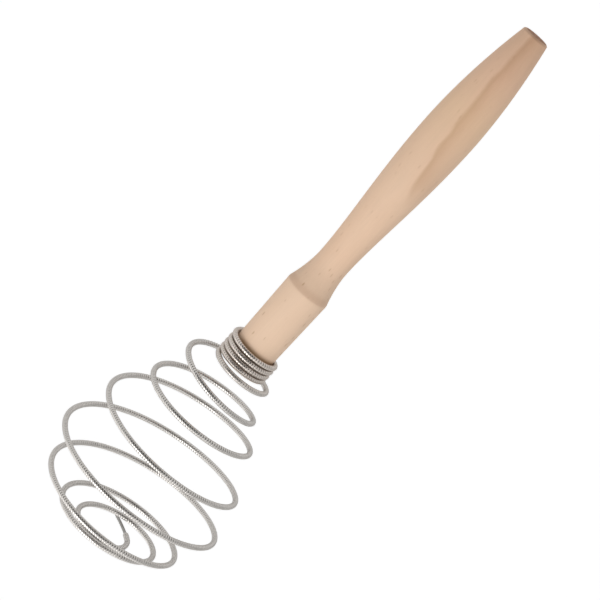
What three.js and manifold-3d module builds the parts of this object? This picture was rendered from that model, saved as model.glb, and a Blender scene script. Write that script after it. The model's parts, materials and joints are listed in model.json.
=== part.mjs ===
import * as THREE from 'three';
import { mergeVertices } from 'three/addons/utils/BufferGeometryUtils.js';
import Module from 'manifold-3d';

// A spiral whisk: a turned beech handle whose lower end carries a springy spiral of wire.
// The wire is a steel core covered from end to end by a fine, close-wound wire, the wrap.
// Lengths are millimetres and +Z runs up the handle. Heights are measured from the foot of
// the handle, and the finished group is then lowered so that its origin is in the grip.
// Seen from the front, along +Y, the wire goes down from left to right round the front of
// each turn and from right to left round the back.

// Handle: heights above its foot, and radii
const FOOT_RADIUS = 8.94;
const SHOULDER_HEIGHT = 40.5;
const SHOULDER_RADIUS = 9.65;
const COVE_HEIGHT = 15.5;
const COVE_POWER = 1.8;
const NECK_RADIUS = 7;
const NECK_LENGTH = 1;
const GRIP_HEIGHT = 125;
const GRIP_RADIUS = 10.8;
const SWELL_POWER = 0.82;
const HANDLE_HEIGHT = 174.8;
const HANDLE_END_RADIUS = 5.7;
const TAPER_POWER = 1.88;
const END_ROUNDING = 1;
const FOOT_CHAMFER = 0.8;

// Wire: the core, the wrap's outside and the room between them
const CORE_RADIUS = 0.65;
const WIRE_RADIUS = 1.2;
const WRAP_CLEARANCE = 0.12;

// Coil that grips the foot of the handle. Its turns lean: they rise a little to the right. Its
// end, just below the foot, is the left of the first free turn, and its top turn lifts on its
// way round to the back.
const COIL_TURNS = 4.25;
const COIL_GAP = 0.1;
const COIL_END_HEIGHT = -1.5;
const COIL_LEAN = 0.03;
const COIL_LIFT = 0.3;
const COIL_CLEARANCE = 0.1;

// Free spiral: the radius of its widest turn, and its depth below the coil's end
const SPIRAL_RADIUS = 40;
const SPIRAL_DEPTH = 92.25;

// Pear outline of the spiral: [share of the widest radius, share of the depth] where each turn
// crosses the side plane, on the right and then on the left, from the neck down to the tip
const TURNS = [
  { right: [0.368, 0.013], left: [0.508, 0.068] },
  { right: [0.474, 0.154], left: [0.62, 0.252] },
  { right: [0.662, 0.274], left: [0.85, 0.431] },
  { right: [0.89, 0.491], left: [0.98, 0.675] },
  { right: [1, 0.691], left: [0.826, 0.865] },
  { right: [0.822, 0.88], left: [0.5, 0.973] },
  { right: [0.638, 0.935], left: [0.256, 0.994] },
];
const LAST_RIGHT = [0.352, 0.97];

// Straight tail at the tip, from the last turn to its end at the full depth: how far right and
// back it ends. It passes under the back of the last turn but one, and its wrap stops short.
const TAIL_RIGHT = 3.3;
const TAIL_BACK = 22;
const TAIL_SWEEP = 5;
const TAIL_WRAPPED = 0.5;

// Inner end of the core, bent into a hole drilled in the back of the handle's foot
const ANCHOR_BEND = 2.2;
const ANCHOR_DEPTH = 6;
const ANCHOR_CLEARANCE = 0.3;

// Pieces of one wire meet end to end with this gap
const JOIN_GAP = 0.3;

// Facets
const HANDLE_FACETS = 32;
const WRAP_FACETS = 8;
const CORE_FACETS = 6;
const HALF_TURN_STEPS = 12;
const COIL_TURN_STEPS = 24;
const TAIL_STEPS = 6;
const ANCHOR_STEPS = 8;
const BORE_FACETS = 12;
const CURVE_SAMPLES = 7;
const ROUNDING_SAMPLES = 2;
const LENGTH_SAMPLES = 800;

// How tightly the wire's path follows its stations, and how close two corners are one
const PATH_TENSION = 0.5;
const MERGE_DISTANCE = 1e-4;

// The coil clears the barrel at its top, where the barrel is widest, also at the middle of a facet
const COIL_PITCH = 2 * WIRE_RADIUS + COIL_GAP;
const COIL_START = -2 * COIL_TURNS;
const COIL_TOP_RIGHT = Math.ceil(COIL_START) + 1;
const COIL_TOP = COIL_END_HEIGHT + COIL_PITCH * COIL_TURNS + COIL_LIFT * (COIL_TOP_RIGHT - COIL_START);
const BARREL_AT_COIL = THREE.MathUtils.lerp(FOOT_RADIUS, SHOULDER_RADIUS, COIL_TOP / SHOULDER_HEIGHT);
const COIL_RADIUS = (BARREL_AT_COIL + COIL_CLEARANCE + WIRE_RADIUS) / Math.cos(Math.PI / COIL_TURN_STEPS);
const COIL_END = COIL_END_HEIGHT - COIL_LEAN * COIL_RADIUS;
const LAST_HALF_TURN = 2 * TURNS.length + 1;
const NECK_TOP = SHOULDER_HEIGHT + COVE_HEIGHT + NECK_LENGTH;

const wasm = await Module();
wasm.setup();

const beech = () => new THREE.MeshStandardMaterial({ color: 0xdfc0a5, roughness: 0.6, metalness: 0 });
const coreSteel = () => new THREE.MeshStandardMaterial({ color: 0x8d8984, roughness: 0.35, metalness: 1 });
const wrapSteel = () => new THREE.MeshStandardMaterial({ color: 0xb4b0aa, roughness: 0.3, metalness: 1 });

// A closed mesh as a solid that can be cut
function toSolid(geometry) {
  const bare = geometry.clone();
  bare.deleteAttribute('normal');
  bare.deleteAttribute('uv');
  const merged = mergeVertices(bare, MERGE_DISTANCE);
  return new wasm.Manifold(new wasm.Mesh({
    numProp: 3,
    vertProperties: new Float32Array(merged.attributes.position.array),
    triVerts: new Uint32Array(merged.index.array),
  }));
}

// A solid back as a mesh geometry
function toGeometry(solid) {
  const mesh = solid.getMesh();
  const geometry = new THREE.BufferGeometry();
  geometry.setAttribute('position', new THREE.BufferAttribute(new Float32Array(mesh.vertProperties), 3));
  geometry.setIndex(new THREE.BufferAttribute(new Uint32Array(mesh.triVerts), 1));
  geometry.computeVertexNormals();
  return geometry;
}

function namedMesh(name, geometry, material) {
  const mesh = new THREE.Mesh(geometry, material);
  mesh.name = name;
  return mesh;
}

// Radius of the grip at a height above the slim neck: a smooth swell to its widest place,
// then a taper that quickens towards the end
function gripRadius(height) {
  if (height <= GRIP_HEIGHT) {
    const rise = ((height - NECK_TOP) / (GRIP_HEIGHT - NECK_TOP)) ** SWELL_POWER;
    return NECK_RADIUS + (GRIP_RADIUS - NECK_RADIUS) * (1 - Math.cos(Math.PI * rise)) / 2;
  }
  const fall = (height - GRIP_HEIGHT) / (HANDLE_HEIGHT - GRIP_HEIGHT);
  return GRIP_RADIUS - (GRIP_RADIUS - HANDLE_END_RADIUS) * fall ** TAPER_POWER;
}

// Half outline of the handle, from the foot's centre to the end's centre
function handleProfile() {
  const roundFrom = HANDLE_HEIGHT - END_ROUNDING;
  const profile = [
    new THREE.Vector2(0, 0),
    new THREE.Vector2(FOOT_RADIUS - FOOT_CHAMFER, 0),
    new THREE.Vector2(FOOT_RADIUS, FOOT_CHAMFER),
    new THREE.Vector2(SHOULDER_RADIUS, SHOULDER_HEIGHT),
  ];
  for (let i = 1; i <= CURVE_SAMPLES; i += 1) {
    const share = i / CURVE_SAMPLES;
    profile.push(new THREE.Vector2(
      NECK_RADIUS + (SHOULDER_RADIUS - NECK_RADIUS) * (1 - share) ** COVE_POWER,
      SHOULDER_HEIGHT + COVE_HEIGHT * share,
    ));
  }
  for (let i = 0; i <= CURVE_SAMPLES; i += 1) {
    const height = THREE.MathUtils.lerp(NECK_TOP, GRIP_HEIGHT, i / CURVE_SAMPLES);
    profile.push(new THREE.Vector2(gripRadius(height), height));
  }
  for (let i = 1; i <= CURVE_SAMPLES; i += 1) {
    const height = THREE.MathUtils.lerp(GRIP_HEIGHT, roundFrom, i / CURVE_SAMPLES);
    profile.push(new THREE.Vector2(gripRadius(height), height));
  }
  for (let i = 1; i <= ROUNDING_SAMPLES; i += 1) {
    const angle = (Math.PI / 2) * (i / ROUNDING_SAMPLES);
    profile.push(new THREE.Vector2(
      gripRadius(roundFrom) - END_ROUNDING * (1 - Math.cos(angle)),
      roundFrom + END_ROUNDING * Math.sin(angle),
    ));
  }
  profile.push(new THREE.Vector2(0, HANDLE_HEIGHT));
  return profile;
}

// The spiral's stations, one per half turn: radius, centre and height. Even ones are on the
// left. The coil's stations come first, from its top down.
function spiralStations() {
  const first = Math.floor(COIL_START) - 1;
  const sides = [];
  for (let half = first; half <= 0; half += 1) {
    const side = half % 2 === 0 ? -1 : 1;
    const x = side * COIL_RADIUS;
    const lift = COIL_LIFT * Math.max(COIL_TOP_RIGHT - half, 0);
    sides.push({ side, x, height: COIL_END_HEIGHT - COIL_PITCH * half / 2 + COIL_LEAN * x + lift });
  }
  const addFree = (side, [radiusShare, depthShare]) => {
    sides.push({ side, x: side * radiusShare * SPIRAL_RADIUS, height: COIL_END - depthShare * SPIRAL_DEPTH });
  };
  for (const turn of TURNS) {
    addFree(1, turn.right);
    addFree(-1, turn.left);
  }
  addFree(1, LAST_RIGHT);
  const halfWidth = (i) => Math.abs(sides[i + 1].x - sides[i].x) / 2;
  const last = sides.length - 1;
  const stations = sides.map((station, i) => {
    const above = halfWidth(Math.max(i - 1, 0));
    const below = halfWidth(Math.min(i, last - 1));
    const radius = (above + below) / 2;
    return new THREE.Vector3(radius, station.x - station.side * radius, station.height);
  });
  return { first, last, path: new THREE.CatmullRomCurve3(stations, false, 'catmullrom', PATH_TENSION) };
}

const stations = spiralStations();

// The wire's centre after so many half turns, counted from the left of the first free turn
function wirePoint(halfTurns) {
  const along = (halfTurns - stations.first) / stations.last;
  const { x: radius, y: centre, z: height } = stations.path.getPoint(along);
  const angle = Math.PI * halfTurns;
  return new THREE.Vector3(centre - radius * Math.cos(angle), -radius * Math.sin(angle), height);
}

// The wire between two counts of half turns, shortened at each end by half the joining gap
class WireCurve extends THREE.Curve {
  constructor(from, to) {
    super();
    this.arcLengthDivisions = LENGTH_SAMPLES;
    const trim = (at) => JOIN_GAP / 2 / (Math.PI * Math.hypot(wirePoint(at).x, wirePoint(at).y));
    this.from = from + trim(from);
    this.to = to - trim(to);
  }

  getPoint(t, target = new THREE.Vector3()) {
    return target.copy(wirePoint(THREE.MathUtils.lerp(this.from, this.to, t)));
  }
}

// Outline of a round section with flat facets
function roundShape(radius, facets) {
  const points = [];
  for (let i = 0; i < facets; i += 1) {
    const angle = (2 * Math.PI * i) / facets;
    points.push(new THREE.Vector2(radius * Math.cos(angle), radius * Math.sin(angle)));
  }
  return new THREE.Shape(points);
}

function coreGeometry(path, steps) {
  return new THREE.ExtrudeGeometry(roundShape(CORE_RADIUS, CORE_FACETS), { steps, extrudePath: path });
}

// The wrap is close-wound, so its solid is a tube round the core. The bore's flats stay the
// clearance away from the core's corners.
function wrapGeometry(path, steps) {
  const section = roundShape(WIRE_RADIUS, WRAP_FACETS);
  const bore = (CORE_RADIUS + WRAP_CLEARANCE) / Math.cos(Math.PI / CORE_FACETS);
  section.holes.push(roundShape(bore, CORE_FACETS));
  return new THREE.ExtrudeGeometry(section, { steps, extrudePath: path });
}

// Core and wrap of one stretch of wire
function wirePair(name, path, steps, wrapPath = path) {
  const pair = new THREE.Group();
  pair.add(namedMesh(`core_${name}`, coreGeometry(path, steps), coreSteel()));
  pair.add(namedMesh(`wrap_${name}`, wrapGeometry(wrapPath, steps), wrapSteel()));
  return pair;
}

// Where the core turns in towards the handle, and the hole that takes it
const coilTop = wirePoint(COIL_START);
const anchorMouth = coilTop.clone().add(new THREE.Vector3(ANCHOR_BEND, 0, 0));
const anchorFoot = anchorMouth.clone().setY(coilTop.y - ANCHOR_BEND);
const anchorTip = anchorMouth.clone().setY(coilTop.y - ANCHOR_DEPTH);

function buildHandle() {
  const body = toSolid(new THREE.LatheGeometry(handleProfile(), HANDLE_FACETS).rotateX(Math.PI / 2));
  const depth = ANCHOR_DEPTH + ANCHOR_CLEARANCE;
  const boreRadius = CORE_RADIUS + ANCHOR_CLEARANCE;
  const bore = new THREE.CylinderGeometry(boreRadius, boreRadius, depth, BORE_FACETS);
  bore.translate(anchorMouth.x, coilTop.y - depth / 2, anchorMouth.z);
  return namedMesh('handle', toGeometry(body.subtract(toSolid(bore))), beech());
}

// The inner end of the core: straight in its hole, then round into the coil
function buildAnchor() {
  const path = new THREE.CurvePath();
  path.add(new THREE.LineCurve3(anchorTip, anchorFoot));
  const coilEnd = coilTop.clone().add(new THREE.Vector3(JOIN_GAP / 2, 0, 0));
  path.add(new THREE.QuadraticBezierCurve3(anchorFoot, anchorMouth, coilEnd));
  return namedMesh('core_anchor', coreGeometry(path, ANCHOR_STEPS), coreSteel());
}

// The tail sweeps off the last turn and then runs straight
function buildTail() {
  const start = wirePoint(LAST_HALF_TURN).add(new THREE.Vector3(0, JOIN_GAP / 2, 0));
  const knee = start.clone().add(new THREE.Vector3(0, TAIL_SWEEP, 0));
  const end = new THREE.Vector3(TAIL_RIGHT, TAIL_BACK, COIL_END - SPIRAL_DEPTH);
  const tail = new THREE.QuadraticBezierCurve3(start, knee, end);
  const wrapped = new THREE.QuadraticBezierCurve3(
    start,
    start.clone().lerp(knee, TAIL_WRAPPED),
    tail.getPoint(TAIL_WRAPPED),
  );
  return wirePair('tail', tail, TAIL_STEPS, wrapped);
}

const whisk = new THREE.Group();
whisk.add(buildHandle());
whisk.add(buildAnchor());
whisk.add(wirePair('coil', new WireCurve(COIL_START, 0), Math.round(COIL_TURNS * COIL_TURN_STEPS)));
for (let half = 0; half < LAST_HALF_TURN; half += 1) {
  const face = half % 2 === 0 ? 'front' : 'back';
  const name = `turn${Math.floor(half / 2) + 1}_${face}`;
  whisk.add(wirePair(name, new WireCurve(half, half + 1), HALF_TURN_STEPS));
}
whisk.add(buildTail());
whisk.position.z = -GRIP_HEIGHT;

export default whisk;
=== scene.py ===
import json
import math

import bmesh
import bpy
import numpy as np
from mathutils import Matrix, Vector


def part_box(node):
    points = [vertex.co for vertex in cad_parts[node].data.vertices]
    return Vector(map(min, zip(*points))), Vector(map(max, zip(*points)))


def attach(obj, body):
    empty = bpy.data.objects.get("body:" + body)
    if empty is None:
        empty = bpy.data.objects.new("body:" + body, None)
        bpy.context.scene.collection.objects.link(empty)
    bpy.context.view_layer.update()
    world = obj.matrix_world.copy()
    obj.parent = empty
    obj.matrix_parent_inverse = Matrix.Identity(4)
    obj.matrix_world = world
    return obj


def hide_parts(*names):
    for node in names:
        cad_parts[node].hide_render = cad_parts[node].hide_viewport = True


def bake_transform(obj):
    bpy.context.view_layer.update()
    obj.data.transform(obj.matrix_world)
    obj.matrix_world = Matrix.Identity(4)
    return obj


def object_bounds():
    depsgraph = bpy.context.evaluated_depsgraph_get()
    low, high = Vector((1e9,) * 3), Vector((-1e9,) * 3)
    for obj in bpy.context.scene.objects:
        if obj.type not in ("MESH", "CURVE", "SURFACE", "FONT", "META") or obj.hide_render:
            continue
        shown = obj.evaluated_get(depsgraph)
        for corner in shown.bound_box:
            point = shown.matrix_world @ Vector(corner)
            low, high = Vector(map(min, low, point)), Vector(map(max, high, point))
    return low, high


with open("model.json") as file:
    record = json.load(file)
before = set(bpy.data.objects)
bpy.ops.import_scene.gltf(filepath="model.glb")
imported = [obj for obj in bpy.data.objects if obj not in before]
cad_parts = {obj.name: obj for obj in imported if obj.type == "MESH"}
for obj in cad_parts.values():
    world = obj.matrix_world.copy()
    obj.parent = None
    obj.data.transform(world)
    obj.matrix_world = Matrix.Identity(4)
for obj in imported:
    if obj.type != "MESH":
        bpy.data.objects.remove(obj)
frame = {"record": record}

# A spiral whisk: a turned beech handle and a springy spiral of wire. The wire is a steel core
# with a fine wire wound close round it. Lengths of the object are millimetres until a mesh is
# made, and its heights are measured from the foot of the handle, which the frame gives. The
# grain of the wood, the camera and the stage are in the frame's own metres.

CAD_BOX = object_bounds()
MM = 0.001
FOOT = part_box("handle")[0].z / MM
HANDLE_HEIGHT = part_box("handle")[1].z / MM - FOOT

# Handle: heights above its foot, and radii
FOOT_RADIUS = 8.94
SHOULDER_HEIGHT = 40.5
SHOULDER_RADIUS = 9.65
COVE_HEIGHT = 15.5
COVE_POWER = 1.8
NECK_RADIUS = 7.0
NECK_LENGTH = 1.0
GRIP_HEIGHT = 125.0
GRIP_RADIUS = 10.8
SWELL_POWER = 0.82
HANDLE_END_RADIUS = 5.7
TAPER_POWER = 1.88
END_ROUNDING = 1.0
END_ROUNDING_STEPS = 6
FOOT_CHAMFER = 0.8
SHOULDER_ROUNDING = 0.35
HANDLE_SIDES = 128
PROFILE_STEP = 1.0
PROFILE_LEAST = 3

# Wire: its core, the crests of the wrap round it, and the wrap's turns
CORE_RADIUS = 0.65
WIRE_RADIUS = 1.2
WRAP_PITCH = 1.14
WRAP_GROOVE = 0.26
CREST_POWER = 3.2
BORE_CLEARANCE = 0.02
WRAP_SIDES = 14
ROWS_PER_WRAP = 12
CORE_SIDES = 12
CORE_STEP = 0.8
CORE_LEAST_ROWS = 2

# Coil on the handle's foot
COIL_TURNS = 4.25
COIL_GAP = 0.1
COIL_END_HEIGHT = -1.5
COIL_LEAN = 0.03
COIL_LIFT = 0.3
COIL_CLEARANCE = 0.1
COIL_TURN_STEPS = 24

# Free spiral, and its pear outline: shares of the widest radius and of the depth where each
# turn crosses the side plane, on the right and then on the left
SPIRAL_RADIUS = 40.0
SPIRAL_DEPTH = 92.25
TURNS = [
    ((0.368, 0.013), (0.508, 0.068)),
    ((0.474, 0.154), (0.62, 0.252)),
    ((0.662, 0.274), (0.85, 0.431)),
    ((0.89, 0.491), (0.98, 0.675)),
    ((1.0, 0.691), (0.826, 0.865)),
    ((0.822, 0.88), (0.5, 0.973)),
    ((0.638, 0.935), (0.256, 0.994)),
]
LAST_RIGHT = (0.352, 0.97)
PATH_TENSION = 0.5
PATH_SAMPLES = 400

# Straight tail at the tip, and the inner end of the core in its hole
TAIL_RIGHT = 3.3
TAIL_BACK = 22.0
TAIL_SWEEP = 5.0
TAIL_WRAPPED = 0.5
TAIL_SAMPLES = 200
ANCHOR_BEND = 2.2
ANCHOR_DEPTH = 6.0
ANCHOR_CLEARANCE = 0.3
ANCHOR_SAMPLES = 24
BORE_SIDES = 24

# Meshes: how near two points are to be joined, the corners of a side face, and a hair that keeps
# rounding from dropping a last point or from moving a point across a groove
JOIN_DISTANCE = 1e-8
QUAD = 4
HAIR = 1e-9


def barrel_radius(height):
    """Radius of the handle's barrel, which widens from its foot to its shoulder."""
    return FOOT_RADIUS + (SHOULDER_RADIUS - FOOT_RADIUS) * height / SHOULDER_HEIGHT


# Values that follow from those above
COIL_PITCH = 2 * WIRE_RADIUS + COIL_GAP
COIL_START = -2 * COIL_TURNS
COIL_TOP_RIGHT = math.ceil(COIL_START) + 1
COIL_TOP = COIL_END_HEIGHT + COIL_PITCH * COIL_TURNS + COIL_LIFT * (COIL_TOP_RIGHT - COIL_START)
COIL_INSIDE = barrel_radius(COIL_TOP) + COIL_CLEARANCE
COIL_RADIUS = (COIL_INSIDE + WIRE_RADIUS) / math.cos(math.pi / COIL_TURN_STEPS)
COIL_END = COIL_END_HEIGHT - COIL_LEAN * COIL_RADIUS
FIRST_STATION = math.floor(COIL_START) - 1
HALF_TURNS = 2 * len(TURNS) + 1
COVE_TOP = SHOULDER_HEIGHT + COVE_HEIGHT
NECK_TOP = COVE_TOP + NECK_LENGTH

# Camera: where it stands, how far it looks down and how far it is rolled
CAMERA_PLACE = (0.00013, -0.8566, 0.1508)
CAMERA_DOWN = math.radians(15.67)
CAMERA_ROLL = math.radians(41.94)
CAMERA_LENS = 135.0
CAMERA_SENSOR = 36.0

# Stage: floor, lamps, the plain light all round, and cards that only the metal reflects. A lamp
# or a card stands at a turn to the right and a rise, both in degrees, seen from the aim. A
# mirrored lamp shows in the metal.
LIGHT_AIM = (0.0, 0.0, -0.09)
LAMPS = {
    "key": {
        "turn": -20.0, "rise": -50.0, "distance": 0.6,
        "width": 0.28, "height": 0.8, "power": 1.85, "mirrored": True,
    },
    "wash": {
        "turn": -20.0, "rise": -48.0, "distance": 0.6,
        "width": 0.6, "height": 0.9, "power": 1.38, "mirrored": False,
    },
    "fill": {
        "turn": 55.0, "rise": -10.0, "distance": 1.0,
        "width": 0.9, "height": 0.9, "power": 2.2, "mirrored": False,
    },
    "back": {
        "turn": 180.0, "rise": -15.0, "distance": 1.0,
        "width": 0.9, "height": 0.9, "power": 3.0, "mirrored": False,
    },
}
AMBIENT_ABOVE = 0.49
AMBIENT_BELOW = 0.76
CARDS = {
    "dark_card": {
        "turn": -12.0, "rise": 34.5, "distance": 1.1,
        "width": 1.4, "height": 2.58, "grey": 0.03,
    },
    "grey_card": {
        "turn": 85.0, "rise": 0.0, "distance": 1.1,
        "width": 2.0, "height": 2.0, "grey": 0.95,
    },
}
FLOOR_DROP = 0.8
FLOOR_SIZE = 40.0
FLOOR_WHITE = 0.9
FLOOR_LIFT = 0.525
FLOOR_ROUGHNESS = 0.9


def srgb(red, green, blue):
    """A colour written as it looks on a screen, 0 to 255, as linear light with full alpha."""
    shares = [value / 255 for value in (red, green, blue)]
    linear = [s / 12.92 if s <= 0.04045 else ((s + 0.055) / 1.055) ** 2.4 for s in shares]
    return (*linear, 1.0)


def grey(share):
    """A grey of this share of white, with full alpha."""
    return (share, share, share, 1.0)


def spiral_stations():
    """Rows of radius, centre and height of the spiral, one for each half turn from the coil's top."""
    sides = []
    for half in range(FIRST_STATION, 1):
        x = (-1 if half % 2 == 0 else 1) * COIL_RADIUS
        lift = COIL_LIFT * max(COIL_TOP_RIGHT - half, 0)
        sides.append((x, COIL_END_HEIGHT - COIL_PITCH * half / 2 + COIL_LEAN * x + lift))
    free = [point for turn in TURNS for point in turn] + [LAST_RIGHT]
    for count, (radius_share, depth_share) in enumerate(free):
        side = 1 if count % 2 == 0 else -1
        sides.append((side * radius_share * SPIRAL_RADIUS, COIL_END - depth_share * SPIRAL_DEPTH))
    x, height = np.array(sides).T
    half_width = np.abs(np.diff(x)) / 2
    above = np.concatenate([half_width[:1], half_width])
    below = np.concatenate([half_width, half_width[-1:]])
    radius = (above + below) / 2
    return np.column_stack([radius, x - np.sign(x) * radius, height])


STATIONS = spiral_stations()


def wire_points(half_turns):
    """The wire's centre after so many half turns, counted from the left of the first free turn."""
    at = np.atleast_1d(np.asarray(half_turns, float)) - FIRST_STATION
    index = np.clip(np.floor(at).astype(int), 0, len(STATIONS) - 2)
    padded = np.vstack([2 * STATIONS[0] - STATIONS[1], STATIONS, 2 * STATIONS[-1] - STATIONS[-2]])
    before, start, end, after = (padded[index + step] for step in range(4))
    t = (at - index)[:, None]
    leave = PATH_TENSION * (end - before)
    arrive = PATH_TENSION * (after - start)
    radius, centre, height = (
        start
        + leave * t
        + (3 * (end - start) - 2 * leave - arrive) * t**2
        + (2 * (start - end) + leave + arrive) * t**3
    ).T
    angle = math.pi * np.atleast_1d(half_turns)
    return np.column_stack([centre - radius * np.cos(angle), -radius * np.sin(angle), height])


def bezier(start, knee, end, samples):
    """Points on a curve that leaves start towards knee and arrives at end from knee."""
    t = np.linspace(0, 1, samples)[:, None]
    return (1 - t) ** 2 * start + 2 * t * (1 - t) * knee + t**2 * end


class Centreline:
    """A run of points as a line that is read by the length along it."""

    def __init__(self, points):
        self.points = points
        steps = np.linalg.norm(np.diff(points, axis=0), axis=1)
        self.length = np.concatenate([[0.0], np.cumsum(steps)])
        ways = np.gradient(points, self.length, axis=0)
        self.ways = ways / np.linalg.norm(ways, axis=1)[:, None]

    def at(self, length):
        """Points, and directions to the side and upwards across the line, at these lengths."""
        place = np.stack([np.interp(length, self.length, c) for c in self.points.T], axis=-1)
        along = np.stack([np.interp(length, self.length, c) for c in self.ways.T], axis=-1)
        along /= np.linalg.norm(along, axis=-1, keepdims=True)
        side = np.cross((0.0, 0.0, 1.0), along)
        side /= np.linalg.norm(side, axis=-1, keepdims=True)
        return place, side, np.cross(along, side)


def whole_wire():
    """The wire's centreline, with the length along it at each half turn and at the wrap's end."""
    halves = np.arange(COIL_START, HALF_TURNS + HAIR, 1 / PATH_SAMPLES)
    spiral = wire_points(halves)
    start = spiral[-1]
    knee = start + (0, TAIL_SWEEP, 0)
    end = np.array((TAIL_RIGHT, TAIL_BACK, COIL_END - SPIRAL_DEPTH))
    tail = bezier(start, knee, end, TAIL_SAMPLES)
    line = Centreline(np.vstack([spiral, tail[1:]]))
    marks = {
        half: float(np.interp(half, halves, line.length[: len(halves)]))
        for half in [COIL_START, *range(HALF_TURNS + 1)]
    }
    wrap_end = line.length[len(halves) - 1 + int(TAIL_WRAPPED * (TAIL_SAMPLES - 1))]
    return line, marks, float(wrap_end)


WIRE, MARKS, WRAP_END = whole_wire()


def around(place, side, up, radius, angle):
    """Points on rings about a line, in the frame's metres."""
    ring = place + radius[..., None] * (np.cos(angle)[..., None] * side + np.sin(angle)[..., None] * up)
    return (ring + (0, 0, FOOT)) * MM


def grid_faces(rows, sides, first=0, skip=0):
    """Quads between rings of points. The last side meets the first, skip rows further on."""
    faces = []
    for row in range(rows - 1):
        for side in range(sides):
            wrapped = side == sides - 1
            near = row + skip if wrapped else row
            if near + 1 > rows - 1:
                continue
            beside = 0 if wrapped else side + 1
            corners = ((row, side), (near, beside), (near + 1, beside), (row + 1, side))
            faces.append([first + r * sides + s for r, s in corners])
    return faces


def rim_faces(ring, bore, sides):
    """Quads of a flat end, between the points of its outer ring and of its bore."""
    pairs = [(side, (side + 1) % sides) for side in range(sides)]
    return [[ring + side, ring + beside, bore + beside, bore + side] for side, beside in pairs]


def make_piece(name, points, faces, material, groove=None):
    """A closed smooth mesh with its doubled points joined and its faces turned out."""
    mesh = bpy.data.meshes.new(name)
    mesh.from_pydata(points.tolist(), [], faces)
    if groove is not None:
        shade = mesh.attributes.new("groove", "FLOAT", "POINT")
        shade.data.foreach_set("value", groove.astype(np.float32))
    shape = bmesh.new()
    shape.from_mesh(mesh)
    bmesh.ops.remove_doubles(shape, verts=shape.verts, dist=JOIN_DISTANCE)
    bmesh.ops.recalc_face_normals(shape, faces=shape.faces)
    for face in shape.faces:
        face.smooth = True
    shape.to_mesh(mesh)
    shape.free()
    mesh.materials.append(material)
    piece = bpy.data.objects.new(name, mesh)
    bpy.context.scene.collection.objects.link(piece)
    return piece


def wound_surface(start, end):
    """Points of the wrap's fine turns between two lengths of the wire, in rows that follow them,
    and how near to a crest each point is."""
    first_row = math.floor((start / WRAP_PITCH - 1) * ROWS_PER_WRAP) - 1
    last_row = math.ceil(end / WRAP_PITCH * ROWS_PER_WRAP) + ROWS_PER_WRAP
    row = np.arange(first_row, last_row + 1)[:, None] / ROWS_PER_WRAP
    column = np.arange(WRAP_SIDES)[None, :] / WRAP_SIDES
    length = np.clip((row + column) * WRAP_PITCH, start, end)
    across = 2 * np.mod(length / WRAP_PITCH - column + HAIR, 1.0) - 1
    crest = np.clip(1 - np.abs(across) ** CREST_POWER, 0, 1) ** (1 / CREST_POWER)
    angle = 2 * math.pi * np.broadcast_to(column, length.shape)
    return around(*WIRE.at(length), WIRE_RADIUS - WRAP_GROOVE * (1 - crest), angle), crest


def smooth_surface(line, start, end, radius, sides):
    """Points of a plain round surface along part of a line, in rows across it."""
    rows = max(CORE_LEAST_ROWS, math.ceil((end - start) / CORE_STEP))
    length = np.repeat(np.linspace(start, end, rows)[:, None], sides, axis=1)
    angle = 2 * math.pi * np.broadcast_to(np.arange(sides) / sides, length.shape)
    return around(*line.at(length), np.full(length.shape, radius), angle)


def wound_tube(name, start, end, material):
    """The wrap from one length of the wire to another: a tube whose ridges are its fine turns,
    cut square at both ends."""
    outer, crest = wound_surface(start, end)
    inner = smooth_surface(WIRE, start, end, CORE_RADIUS + BORE_CLEARANCE, WRAP_SIDES)
    points = np.vstack([outer.reshape(-1, 3), inner.reshape(-1, 3)])
    bore = len(outer) * WRAP_SIDES
    faces = grid_faces(len(outer), WRAP_SIDES, skip=ROWS_PER_WRAP)
    faces += grid_faces(len(inner), WRAP_SIDES, first=bore)
    faces += rim_faces(0, bore, WRAP_SIDES)
    faces += rim_faces(bore - WRAP_SIDES, len(points) - WRAP_SIDES, WRAP_SIDES)
    groove = np.concatenate([crest.ravel(), np.zeros(len(points) - bore)])
    return make_piece(name, points, faces, material, groove)


def smooth_rod(name, line, start, end, material):
    """A plain round rod along part of a line, with flat ends."""
    surface = smooth_surface(line, start, end, CORE_RADIUS, CORE_SIDES)
    points = surface.reshape(-1, 3)
    faces = grid_faces(len(surface), CORE_SIDES)
    faces.append(list(range(CORE_SIDES)))
    faces.append(list(range(len(points) - CORE_SIDES, len(points))))
    piece = make_piece(name, points, faces, material)
    for face in piece.data.polygons:
        face.use_smooth = len(face.vertices) == QUAD
    return piece


# Nodes: the roughness and the middle of all noise, and the sockets of a Mix node for colours
NOISE_ROUGHNESS = 0.55
NOISE_MIDDLE = 0.5
MIX_FACTOR = 0
MIX_FIRST = 6
MIX_SECOND = 7
MIX_RESULT = 2


def feed(tree, node, inputs):
    """Set each named input of a node to a value, or join it to an output."""
    for name, value in inputs.items():
        if isinstance(value, bpy.types.NodeSocket):
            tree.links.new(value, node.inputs[name])
        else:
            node.inputs[name].default_value = value


def add(tree, kind, inputs=None, **settings):
    """A new node with its settings and inputs."""
    node = tree.nodes.new(kind)
    for name, value in settings.items():
        setattr(node, name, value)
    feed(tree, node, inputs or {})
    return node


def calc(tree, operation, *values):
    """The output of a Math node."""
    return add(tree, "ShaderNodeMath", dict(enumerate(values)), operation=operation).outputs[0]


def product(tree, first, *others):
    """Values multiplied together."""
    for other in others:
        first = calc(tree, "MULTIPLY", first, other)
    return first


def fit(tree, value, low, high, to_low=0.0, to_high=1.0):
    """A value moved smoothly from one range to another."""
    inputs = {"Value": value, "From Min": low, "From Max": high, "To Min": to_low, "To Max": to_high}
    return add(tree, "ShaderNodeMapRange", inputs, interpolation_type="SMOOTHSTEP").outputs[0]


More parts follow.
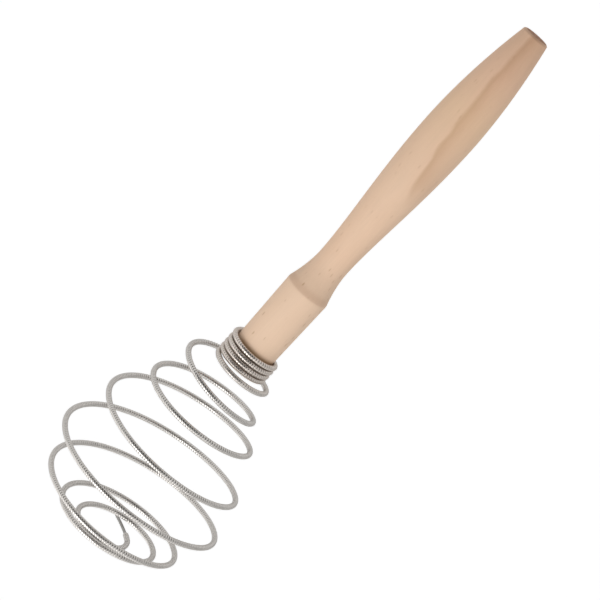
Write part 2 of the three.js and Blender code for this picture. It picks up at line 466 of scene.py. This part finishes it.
def mix(tree, factor, first, second, blend_type="MIX"):
    """A mix of two colours."""
    inputs = {MIX_FACTOR: factor, MIX_FIRST: first, MIX_SECOND: second}
    node = add(tree, "ShaderNodeMix", inputs, data_type="RGBA", blend_type=blend_type)
    return node.outputs[MIX_RESULT]


def multiplied(tree, colour, tint):
    """A colour multiplied by a tint."""
    return mix(tree, 1.0, colour, tint, "MULTIPLY")


def tinted(tree, factor, colour, tint):
    """A colour, multiplied by a tint as far as the factor says."""
    return mix(tree, factor, colour, multiplied(tree, colour, tint))


def axes(tree, vector):
    """The x, y and z of a vector."""
    return add(tree, "ShaderNodeSeparateXYZ", {0: vector}).outputs


def stretched(tree, place, scale):
    """Coordinates scaled by a different amount along each axis."""
    return add(tree, "ShaderNodeMapping", {"Vector": place, "Scale": scale}).outputs[0]


def noise(tree, place, scale=1.0, detail=3.0):
    """Even noise between 0 and 1."""
    inputs = {"Vector": place, "Scale": scale, "Detail": detail, "Roughness": NOISE_ROUGHNESS}
    return add(tree, "ShaderNodeTexNoise", inputs).outputs[0]


def bump(tree, height, strength, distance):
    """The surface's direction, tilted by a height."""
    inputs = {"Strength": strength, "Distance": distance, "Height": height}
    return add(tree, "ShaderNodeBump", inputs).outputs[0]


def new_material(name):
    """A material with its node tree and its one shader."""
    material = bpy.data.materials.new(name)
    material.use_nodes = True
    tree = material.node_tree
    return material, tree, tree.nodes["Principled BSDF"]


# Beech: its tone at shares of the handle's height, between which slopes end grain comes to show
# and how dark it is, its sheen, and its bump's strength and distance
BEECH_TONES = (
    (0.0, (228, 198, 171)),
    (0.24, (227, 197, 170)),
    (0.35, (226, 193, 165)),
    (0.56, (226, 194, 166)),
    (0.65, (226, 193, 164)),
    (0.78, (228, 194, 162)),
    (0.89, (227, 190, 161)),
    (1.0, (223, 186, 157)),
)
END_GRAIN_SHOWS = (0.03, 0.35)
END_GRAIN_DARK = (0.93, 0.92, 0.91, 1.0)
BEECH_ROUGHNESS = (0.5, 0.62)
BEECH_SPECULAR = 0.3
BEECH_BUMP = (0.25, 0.00012)

# Fibres and clouds of the wood: how fine they are along each axis, the two tints that they swing
# between, the range of the fibres that changes the roughness, and how far they stand out
FIBRE_SCALE = (1500.0, 1500.0, 60.0)
FIBRE_DETAIL = 4.0
FIBRE_TINTS = ((0.95, 0.945, 0.94, 1.0), (1.04, 1.04, 1.04, 1.0))
FIBRE_RANGE = (0.2, 0.8)
FIBRE_RELIEF = 0.4
CLOUD_SCALE = (120.0, 120.0, 30.0)
CLOUD_TINTS = ((0.95, 0.945, 0.94, 1.0), (1.04, 1.04, 1.05, 1.0))

# Pores of the wood: how fine their cells are, from where in a cell to where a pore deepens, which
# draws give a cell a pore, and between which heights they fade to what is left on the grip
PORE_SCALE = (1000.0, 1000.0, 330.0)
PORE_EDGE = (0.46, 0.14)
PORE_DRAW = (0.92, 0.96)
PORE_DARK = (0.77, 0.7, 0.62, 1.0)
PORE_FADE = (-0.085, -0.05)
PORES_ON_GRIP = 0.35

# Painted shadow of the coil's top turn on the wood just above it: the height of its edge on the
# axis, how it falls to the right, how far above and below that height it fades out, and between
# which places across the handle it starts
COIL_SHADOW_HEIGHT = 8.9
COIL_SHADOW_SLOPE = -0.043
COIL_SHADOW_FADE = 2.4
COIL_SHADOW_DEPTH = 1.6
COIL_SHADOW_STARTS = (-8.8, -5.0)
COIL_SHADOW_DARK = (0.56, 0.48, 0.39, 1.0)

# Darker band on the steep foot of the cove: between which heights above the shoulder it fades out
BAND_FADE = (1.8, 4.2)
BAND_DARK = (0.935, 0.9, 0.885, 1.0)

# Growth rings through the grip: where a ring's left side stands furthest left, how that side
# bends away to the right and wanders, how wide a ring is, over what share of it its left side
# darkens, how quickly it then pales, and where it fades out down the handle
RING_APEX_X = -0.0026
RING_APEX_Z = 0.033
RING_BEND = 1.62
RING_WANDER = 0.0028
RING_WANDER_SCALE = (160.0, 160.0, 100.0)
RING_WANDER_DETAIL = 4.0
RING_WIDTH = 0.024
RING_EDGE = 0.085
RING_PALING = 5.0
RING_DARK = (0.73, 0.63, 0.54, 1.0)
RING_FADE = (-0.034, -0.018)

# Cut ends of the handle: how the rings bend there and how wide they are, their tones, the specks
# that darken them, their sheen, and their bump's strength and distance
END_RING_BEND = 9.0
END_RING_WIDTH = 0.0021
END_TONES = ((177, 134, 111), (202, 158, 132))
SPECK_SCALE = 3500.0
SPECK_DETAIL = 2.0
SPECK_EDGE = (0.4, 0.65)
SPECK_DARK = (0.78, 0.74, 0.7, 1.0)
END_ROUGHNESS = 0.75
END_SPECULAR = 0.1
END_BUMP = (0.3, 0.0001)


def beech_tone(tree, z):
    """The wood's plain tone, which changes from the foot to the end."""
    ends = {"From Min": FOOT * MM, "From Max": (FOOT + HANDLE_HEIGHT) * MM}
    share = add(tree, "ShaderNodeMapRange", {"Value": z, **ends}).outputs[0]
    stops = add(tree, "ShaderNodeValToRGB", {0: share})
    elements = stops.color_ramp.elements
    while len(elements) < len(BEECH_TONES):
        elements.new(1.0)
    for element, (position, colour) in zip(elements, BEECH_TONES):
        element.position = position
        element.color = srgb(*colour)
    return stops.outputs[0]


def growth_ring(tree, place, x, z):
    """How dark the growth ring is: it darkens quickly from its left side and pales to its right."""
    offset = calc(tree, "SUBTRACT", z, RING_APEX_Z)
    edge = calc(tree, "MULTIPLY_ADD", product(tree, offset, offset), RING_BEND, RING_APEX_X)
    wander = noise(tree, stretched(tree, place, RING_WANDER_SCALE), detail=RING_WANDER_DETAIL)
    wander = calc(tree, "SUBTRACT", wander, NOISE_MIDDLE)
    edge = calc(tree, "MULTIPLY_ADD", wander, RING_WANDER, edge)
    rings = calc(tree, "DIVIDE", calc(tree, "SUBTRACT", x, edge), RING_WIDTH)
    share = calc(tree, "FRACT", rings)
    left = fit(tree, share, 0.0, RING_EDGE)
    right = calc(tree, "POWER", calc(tree, "SUBTRACT", 1.0, share), RING_PALING)
    return product(tree, left, right, fit(tree, z, *RING_FADE))


def painted_coil_shadow(tree, x, z):
    """How dark the painted shadow of the coil's top turn makes the wood, fading out above and below."""
    edge = calc(tree, "MULTIPLY_ADD", x, COIL_SHADOW_SLOPE, (FOOT + COIL_SHADOW_HEIGHT) * MM)
    height = calc(tree, "SUBTRACT", z, edge)
    above = fit(tree, height, 0.0, COIL_SHADOW_FADE * MM, 1.0, 0.0)
    below = fit(tree, height, -2 * COIL_SHADOW_DEPTH * MM, -COIL_SHADOW_DEPTH * MM)
    left, right = COIL_SHADOW_STARTS
    return product(tree, above, below, fit(tree, x, left * MM, right * MM))


def shoulder_band(tree, z):
    """How much darker the wood is just above the shoulder, on the steep foot of the cove."""
    height = calc(tree, "SUBTRACT", z, (FOOT + SHOULDER_HEIGHT) * MM)
    above = fit(tree, height, -SHOULDER_ROUNDING * MM, SHOULDER_ROUNDING * MM)
    low, high = BAND_FADE
    return product(tree, above, fit(tree, height, low * MM, high * MM, 1.0, 0.0))


def beech_pores(tree, place, z):
    """Short fine pores along the grain, in a few of the cells of a long mesh, fewer on the grip."""
    long_cells = stretched(tree, place, PORE_SCALE)
    cells = add(tree, "ShaderNodeTexVoronoi", {"Vector": long_cells, "Scale": 1.0})
    depth = fit(tree, cells.outputs["Distance"], *PORE_EDGE)
    draw = add(tree, "ShaderNodeSeparateColor", {0: cells.outputs["Color"]}).outputs[0]
    pores = product(tree, depth, fit(tree, draw, *PORE_DRAW))
    return product(tree, pores, fit(tree, z, *PORE_FADE, 1.0, PORES_ON_GRIP))


def beech_material():
    """Pale turned beech: a growth ring, fine fibres, soft clouds, pores, and end grain on slopes."""
    material, tree, shader = new_material("beech")
    coordinates = add(tree, "ShaderNodeTexCoord").outputs
    place = coordinates["Object"]
    x, _, z = axes(tree, place)
    facing = axes(tree, coordinates["Normal"])[2]
    fibres = noise(tree, stretched(tree, place, FIBRE_SCALE), detail=FIBRE_DETAIL)
    cloud = noise(tree, stretched(tree, place, CLOUD_SCALE))
    pores = beech_pores(tree, place, z)

    colour = tinted(tree, growth_ring(tree, place, x, z), beech_tone(tree, z), RING_DARK)
    sloped = fit(tree, calc(tree, "ABSOLUTE", facing), *END_GRAIN_SHOWS)
    colour = tinted(tree, sloped, colour, END_GRAIN_DARK)
    colour = multiplied(tree, colour, mix(tree, fibres, *FIBRE_TINTS))
    colour = multiplied(tree, colour, mix(tree, cloud, *CLOUD_TINTS))
    colour = tinted(tree, pores, colour, PORE_DARK)
    # Painted shadow of the coil's top turn on the wood above it
    colour = tinted(tree, painted_coil_shadow(tree, x, z), colour, COIL_SHADOW_DARK)
    colour = tinted(tree, shoulder_band(tree, z), colour, BAND_DARK)

    height = calc(tree, "SUBTRACT", product(tree, fibres, FIBRE_RELIEF), pores)
    feed(tree, shader, {
        "Base Color": colour,
        "Normal": bump(tree, height, *BEECH_BUMP),
        "Roughness": fit(tree, fibres, *FIBRE_RANGE, *BEECH_ROUGHNESS),
        "Specular IOR Level": BEECH_SPECULAR,
    })
    return material


def end_grain_material():
    """The cut ends of the handle: darker, with growth rings seen end on."""
    material, tree, shader = new_material("beech_end_grain")
    place = add(tree, "ShaderNodeTexCoord").outputs["Object"]
    x, y, _ = axes(tree, place)
    across = calc(tree, "ADD", x, product(tree, y, y, END_RING_BEND))
    ring = calc(tree, "FRACT", calc(tree, "DIVIDE", across, END_RING_WIDTH))
    speck = noise(tree, place, SPECK_SCALE, SPECK_DETAIL)
    tone = mix(tree, ring, *(srgb(*colour) for colour in END_TONES))
    clear = fit(tree, speck, *SPECK_EDGE)
    feed(tree, shader, {
        "Base Color": mix(tree, clear, multiplied(tree, tone, SPECK_DARK), tone),
        "Normal": bump(tree, speck, *END_BUMP),
        "Roughness": END_ROUGHNESS,
        "Specular IOR Level": END_SPECULAR,
    })
    return material


# Steel: how much of the light it returns at a glance, where a plain metal would turn white, how
# far it counts as metal, the colours and the roughness of the core and of the wrap, and from
# where to where the wrap's grooves pale to its crests; the grooves are painted darker, for grime
# in them and as painted shade
STEEL_EDGE = (0.45, 0.445, 0.44, 1.0)
STEEL_METAL = 0.9
CORE_COLOUR = (0.36, 0.35, 0.335, 1.0)
CORE_ROUGHNESS = 0.32
WRAP_COLOUR = (0.67, 0.641, 0.61, 1.0)
WRAP_ROUGHNESS = 0.12
GROOVE_GRIME_AND_SHADE = (0.16, 0.15, 0.14, 1.0)
GROOVE_EDGE = (0.3, 0.95)

# Patches of duller steel: how fine they are, their share of the steel's colour, and the range of
# them that makes it rougher, and by how much
PATCH_SCALE = 260.0
PATCH_DULL = 0.88
PATCH_RANGE = (0.3, 0.7)
PATCH_ROUGHER = 0.1

# The warmer tone of the steel on the coil, and how far below the handle's foot it fades out
COIL_TINT = (1.06, 1.0, 0.955, 1.0)
COIL_TINT_FADE = 4.0


def steel_material(name, light, dark, roughness):
    """Bare drawn steel, duller in patches, and darker in the grooves between fine turns with grime and
    painted shade.
    """
    material, tree, shader = new_material(name)
    place = add(tree, "ShaderNodeTexCoord").outputs["Object"]
    crest = add(tree, "ShaderNodeAttribute", attribute_name="groove").outputs["Fac"]
    patch = noise(tree, place, PATCH_SCALE)
    dull = (*(PATCH_DULL * share for share in light[:3]), 1.0)
    metal = mix(tree, patch, dull, light)
    # The grooves are painted darker: grime in them and painted shade
    colour = mix(tree, fit(tree, crest, *GROOVE_EDGE), dark, metal)
    on_coil = fit(tree, axes(tree, place)[2], (FOOT - COIL_TINT_FADE) * MM, FOOT * MM)
    feed(tree, shader, {
        "Base Color": tinted(tree, on_coil, colour, COIL_TINT),
        "Roughness": fit(tree, patch, *PATCH_RANGE, roughness, roughness + PATCH_ROUGHER),
        "Metallic": STEEL_METAL,
        "Specular Tint": STEEL_EDGE,
    })
    return material


def cove_radius(height):
    """Radius of the cove, from the shoulder in to the neck."""
    share = (height - SHOULDER_HEIGHT) / COVE_HEIGHT
    return NECK_RADIUS + (SHOULDER_RADIUS - NECK_RADIUS) * (1 - share) ** COVE_POWER


def grip_radius(height):
    """Radius of the grip: a smooth swell from the neck, then a taper that quickens to the end."""
    if height <= GRIP_HEIGHT:
        rise = ((height - NECK_TOP) / (GRIP_HEIGHT - NECK_TOP)) ** SWELL_POWER
        return NECK_RADIUS + (GRIP_RADIUS - NECK_RADIUS) * (1 - math.cos(math.pi * rise)) / 2
    fall = (height - GRIP_HEIGHT) / (HANDLE_HEIGHT - GRIP_HEIGHT)
    return GRIP_RADIUS - (GRIP_RADIUS - HANDLE_END_RADIUS) * fall**TAPER_POWER


def handle_profile():
    """Half outline of the handle, from the edge of its foot to the edge of its end."""
    round_from = HANDLE_HEIGHT - END_ROUNDING
    stretches = (
        (barrel_radius, FOOT_CHAMFER, SHOULDER_HEIGHT - SHOULDER_ROUNDING),
        (cove_radius, SHOULDER_HEIGHT + SHOULDER_ROUNDING, COVE_TOP),
        (grip_radius, NECK_TOP, round_from),
    )
    profile = [(FOOT_RADIUS - FOOT_CHAMFER, 0.0)]
    for radius, low, high in stretches:
        count = max(PROFILE_LEAST, math.ceil((high - low) / PROFILE_STEP) + 1)
        profile += [(radius(height), height) for height in np.linspace(low, high, count)]
    for turn in np.linspace(0, math.pi / 2, END_ROUNDING_STEPS + 1)[1:]:
        radius = grip_radius(round_from) - END_ROUNDING * (1 - math.cos(turn))
        profile.append((radius, round_from + END_ROUNDING * math.sin(turn)))
    return np.array(profile)


def turned_handle(wood, end_grain):
    """The turned handle, with end grain on its two flat ends."""
    profile = handle_profile()
    angle = 2 * math.pi * np.arange(HANDLE_SIDES) / HANDLE_SIDES
    rings = [
        np.column_stack([radius * np.cos(angle), radius * np.sin(angle), np.full(HANDLE_SIDES, height)])
        for radius, height in profile
    ]
    points = (np.vstack(rings) + (0, 0, FOOT)) * MM
    faces = grid_faces(len(profile), HANDLE_SIDES)
    faces.append(list(range(HANDLE_SIDES)))
    faces.append(list(range(len(points) - HANDLE_SIDES, len(points))))
    handle = make_piece("turned_handle", points, faces, wood)
    handle.data.materials.append(end_grain)
    for face in handle.data.polygons:
        if len(face.vertices) > QUAD:
            face.material_index = 1
            face.use_smooth = False
    return handle


def bore_cutter():
    """A rod in the place of the hole for the wire's inner end, in the back of the handle's foot."""
    top = wire_points(COIL_START)[0]
    depth = ANCHOR_DEPTH + ANCHOR_CLEARANCE
    centre = Vector((top[0] + ANCHOR_BEND, top[1] - depth / 2, top[2] + FOOT)) * MM
    radius = (CORE_RADIUS + ANCHOR_CLEARANCE) * MM
    shape = bmesh.new()
    bmesh.ops.create_cone(
        shape, cap_ends=True, segments=BORE_SIDES, radius1=radius, radius2=radius, depth=depth * MM,
        matrix=Matrix.Translation(centre) @ Matrix.Rotation(math.pi / 2, 4, "X"),
    )
    for face in shape.faces:
        face.material_index = 1
    mesh = bpy.data.meshes.new("bore")
    shape.to_mesh(mesh)
    shape.free()
    cutter = bpy.data.objects.new("bore", mesh)
    bpy.context.scene.collection.objects.link(cutter)
    return cutter


def drill(handle):
    """Cut the hole that takes the inner end of the wire."""
    cutter = bore_cutter()
    cut = handle.modifiers.new("bore", "BOOLEAN")
    cut.object = cutter
    solid = handle.evaluated_get(bpy.context.evaluated_depsgraph_get())
    handle.data = bpy.data.meshes.new_from_object(solid)
    handle.modifiers.clear()
    bpy.data.objects.remove(cutter)


def body_of(node):
    """The body that carries a node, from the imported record."""
    bodies = frame["record"]["behaviour"]["bodies"]
    return next(name for name, nodes in bodies.items() if node in nodes)


def stand_for(node):
    """A piece stands for a CAD node, which is hidden."""
    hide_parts(node)


def build_handle(wood, end_grain):
    """The turned and drilled handle, on its own body."""
    handle = turned_handle(wood, end_grain)
    drill(handle)
    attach(handle, body_of("handle"))
    stand_for("handle")


def anchor_line():
    """Centreline of the inner end of the core, from the bottom of its hole to the coil."""
    top = wire_points(COIL_START)[0]
    mouth = top + (ANCHOR_BEND, 0, 0)
    foot = np.array((mouth[0], top[1] - ANCHOR_BEND, mouth[2]))
    tip = np.array((mouth[0], top[1] - ANCHOR_DEPTH, mouth[2]))
    bend = bezier(foot, mouth, top, ANCHOR_SAMPLES)
    return Centreline(np.vstack([tip, bend]))


def wire_stretches():
    """The coil and each half turn: a name, and the half turns where it starts and ends."""
    stretches = [("coil", COIL_START, 0)]
    for half in range(HALF_TURNS):
        face = "front" if half % 2 == 0 else "back"
        stretches.append((f"turn{half // 2 + 1}_{face}", half, half + 1))
    return stretches


def core_and_wrap(name, start, core_end, wrap_end, core, wrap):
    """The core and the wrap of one stretch of wire, from the same length, each with its kind."""
    return (
        ("core", smooth_rod(f"steel_core_{name}", WIRE, start, core_end, core)),
        ("wrap", wound_tube(f"steel_wrap_{name}", start, wrap_end, wrap)),
    )


def carry(piece, node, before):
    """A piece of wire joins its own body if the wire before it is on it; else it stays loose, baked in
    place.
    """
    own = body_of(node)
    if before == own:
        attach(piece, own)
        return
    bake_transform(piece)


def build_spiral(core, wrap):
    """Core and wrap of the coil and of each half turn, each on its own body or left loose by carry."""
    before = body_of("wrap_coil")
    for name, start, end in wire_stretches():
        for kind, piece in core_and_wrap(name, MARKS[start], MARKS[end], MARKS[end], core, wrap):
            carry(piece, f"{kind}_{name}", before)
            stand_for(f"{kind}_{name}")
        before = body_of(f"wrap_{name}")


def build_wire_ends(core, wrap):
    """The straight tail at the tip, whose wrap stops short, and the bare core in the handle's hole."""
    tail_end = float(WIRE.length[-1])
    for kind, piece in core_and_wrap("tail", MARKS[HALF_TURNS], tail_end, WRAP_END, core, wrap):
        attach(piece, body_of(f"{kind}_tail"))
        stand_for(f"{kind}_tail")
    line = anchor_line()
    anchor = smooth_rod("steel_core_anchor", line, 0.0, float(line.length[-1]), core)
    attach(anchor, body_of("core_anchor"))
    stand_for("core_anchor")


def build_camera():
    """The camera at the photograph's viewing angle."""
    data = bpy.data.cameras.new("camera")
    data.lens = CAMERA_LENS
    data.sensor_width = CAMERA_SENSOR
    camera = bpy.data.objects.new("camera", data)
    ahead = Vector((0, math.cos(CAMERA_DOWN), -math.sin(CAMERA_DOWN)))
    level = Vector((1, 0, 0))
    upright = level.cross(ahead)
    right = math.cos(CAMERA_ROLL) * level + math.sin(CAMERA_ROLL) * upright
    up = math.cos(CAMERA_ROLL) * upright - math.sin(CAMERA_ROLL) * level
    turn = Matrix((right, up, -ahead)).transposed().to_4x4()
    camera.matrix_world = Matrix.Translation(CAMERA_PLACE) @ turn
    bpy.context.scene.collection.objects.link(camera)
    bpy.context.scene.camera = camera


def face_aim(stand, distance, turn, rise):
    """Place an object at a distance from the aim, in a direction from it, and face it there."""
    turn, rise = math.radians(turn), math.radians(rise)
    way = Vector((math.sin(turn) * math.cos(rise), -math.cos(turn) * math.cos(rise), math.sin(rise)))
    stand.location = Vector(LIGHT_AIM) + distance * way
    stand.rotation_euler = (-way).to_track_quat("-Z", "Y").to_euler()
    bpy.context.scene.collection.objects.link(stand)


def flat_sheet(name, width, height, level, material):
    """A rectangle that lies flat, with its middle at a level over the origin."""
    wide, high = width / 2, height / 2
    corners = ((-wide, -high), (wide, -high), (wide, high), (-wide, high))
    mesh = bpy.data.meshes.new(name)
    mesh.from_pydata([(x, y, level) for x, y in corners], [], [range(QUAD)])
    mesh.materials.append(material)
    return bpy.data.objects.new(name, mesh)


def background_rays(tree):
    """1 for the rays that see the background, straight or by reflection, and 0 for the rest."""
    path = add(tree, "ShaderNodeLightPath").outputs
    seen = calc(tree, "MAXIMUM", path["Is Camera Ray"], path["Is Glossy Ray"])
    return calc(tree, "MAXIMUM", seen, path["Is Transmission Ray"])


def build_floor():
    """A plain pale floor below the spiral. It is lifted to white where it is seen, less its shadows."""
    material, tree, shader = new_material("floor")
    feed(tree, shader, {
        "Base Color": grey(FLOOR_WHITE),
        "Roughness": FLOOR_ROUGHNESS,
        "Emission Color": grey(1.0),
        "Emission Strength": product(tree, background_rays(tree), FLOOR_LIFT),
    })
    floor = flat_sheet("floor", FLOOR_SIZE, FLOOR_SIZE, CAD_BOX[0].z - FLOOR_DROP, material)
    bpy.context.scene.collection.objects.link(floor)


def build_world():
    """A white background, with plain light all round that is lower from above."""
    world = bpy.data.worlds.new("studio")
    world.use_nodes = True
    bpy.context.scene.world = world
    tree = world.node_tree
    way = add(tree, "ShaderNodeTexCoord").outputs["Generated"]
    ambient = fit(tree, axes(tree, way)[2], -1.0, 1.0, AMBIENT_BELOW, AMBIENT_ABOVE)
    lift = calc(tree, "SUBTRACT", 1.0, ambient)
    strength = calc(tree, "MULTIPLY_ADD", lift, background_rays(tree), ambient)
    feed(tree, tree.nodes["Background"], {"Color": grey(1.0), "Strength": strength})


def build_lamps():
    """Soft lamps that face the object and aren't seen themselves."""
    for name, lamp in LAMPS.items():
        data = bpy.data.lights.new(name, "AREA")
        data.shape = "RECTANGLE"
        data.size = lamp["width"]
        data.size_y = lamp["height"]
        data.energy = lamp["power"]
        light = bpy.data.objects.new(name, data)
        light.visible_camera = False
        light.visible_glossy = lamp["mirrored"]
        face_aim(light, lamp["distance"], lamp["turn"], lamp["rise"])


def build_cards():
    """Dull cards beside the object, as photographers use to draw the shape of bright metal."""
    for name, card in CARDS.items():
        material, tree, shader = new_material(name)
        dull = {"Roughness": 1.0, "Specular IOR Level": 0.0}
        feed(tree, shader, {"Base Color": grey(card["grey"]), **dull})
        board = flat_sheet(name, card["width"], card["height"], 0.0, material)
        board.visible_camera = False
        board.visible_diffuse = False
        board.visible_shadow = False
        face_aim(board, card["distance"], card["turn"], card["rise"])


bpy.context.scene.view_settings.view_transform = "Standard"
build_camera()
core_steel = steel_material("core_steel", CORE_COLOUR, CORE_COLOUR, CORE_ROUGHNESS)
wrap_steel = steel_material("wrap_steel", WRAP_COLOUR, GROOVE_GRIME_AND_SHADE, WRAP_ROUGHNESS)
build_spiral(core_steel, wrap_steel)
build_wire_ends(core_steel, wrap_steel)
build_handle(beech_material(), end_grain_material())
build_floor()
build_world()
build_lamps()
build_cards()
